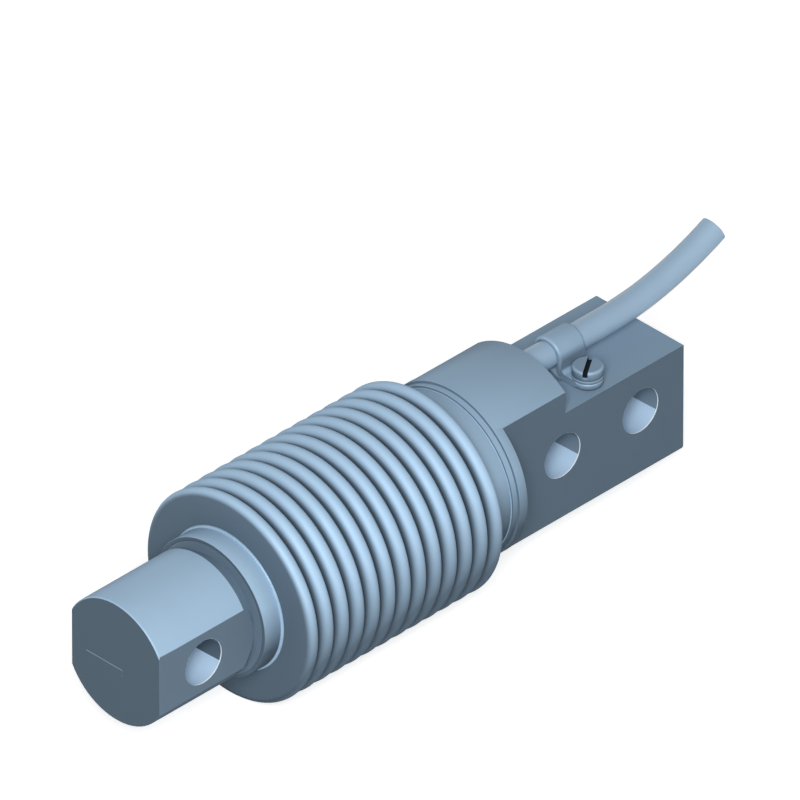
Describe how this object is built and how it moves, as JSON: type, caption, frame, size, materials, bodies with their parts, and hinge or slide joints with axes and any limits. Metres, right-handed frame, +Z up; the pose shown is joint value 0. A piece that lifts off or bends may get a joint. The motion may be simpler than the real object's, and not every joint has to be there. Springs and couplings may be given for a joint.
{
  "type": "bellows bending beam load cell",
  "caption": "Bending beam load cell: a stainless beam with its gauges sealed inside a metal bellows, bolt holes across the flats at both ends, and a clipped signal cable.",
  "frame": {"origin": "midway between the two mounting holes, on the axis of the beam", "axes": "+X along the beam towards the cable end, +Y along the fixing holes and the load, +Z up, to the side where the cable comes out"},
  "size_m": [0.138, 0.038, 0.0392],
  "materials": {
    "stainless_steel": "turned and milled, satin",
    "bellows_steel": "formed sheet, bright satin",
    "clip_steel": "bright stamped strip and turned screw",
    "feedthrough_steel": "plated",
    "seal_glass": "fused bead",
    "pin_alloy": "gold plated",
    "gauge_film": "amber film",
    "strip_film": "amber film with tinned pads",
    "jumper_wire": "bare copper",
    "ribbon_film": "amber film over copper strips",
    "board_laminate": "green lacquer on laminate",
    "resistor_body": "moulded, dark",
    "core_red": "extruded insulation",
    "core_black": "extruded insulation",
    "core_green": "extruded insulation",
    "core_white": "extruded insulation",
    "seal_rubber": "moulded",
    "cable_jacket": "extruded jacket, satin"
  },
  "bodies": {
    "root": {"beam_body": "stainless_steel", "bellows": "bellows_steel", "load_end_ring": "stainless_steel", "compensation_board": "board_laminate", "feedthrough_shell": "feedthrough_steel", "feedthrough_glass": "seal_glass", "feedthrough_pins": "pin_alloy", "cable_root": "cable_jacket", "cable_seal": "seal_rubber", "cable": "cable_jacket", "cable_clip": "clip_steel", "clip_washer": "clip_steel", "clip_screw": "clip_steel", "zero_resistor": "resistor_body", "span_resistor": "resistor_body", "temperature_resistor": "resistor_body", "strain_gauge_load_right": "gauge_film", "strain_gauge_mount_right": "gauge_film", "terminal_strip_right": "strip_film", "gauge_jumpers_right": "jumper_wire", "gauge_ribbon_right": "ribbon_film", "strain_gauge_load_left": "gauge_film", "strain_gauge_mount_left": "gauge_film", "terminal_strip_left": "strip_film", "gauge_jumpers_left": "jumper_wire", "gauge_ribbon_left": "ribbon_film", "core_red": "core_red", "core_black": "core_black", "core_green": "core_green", "core_white": "core_white"}
  },
  "joints": []
}
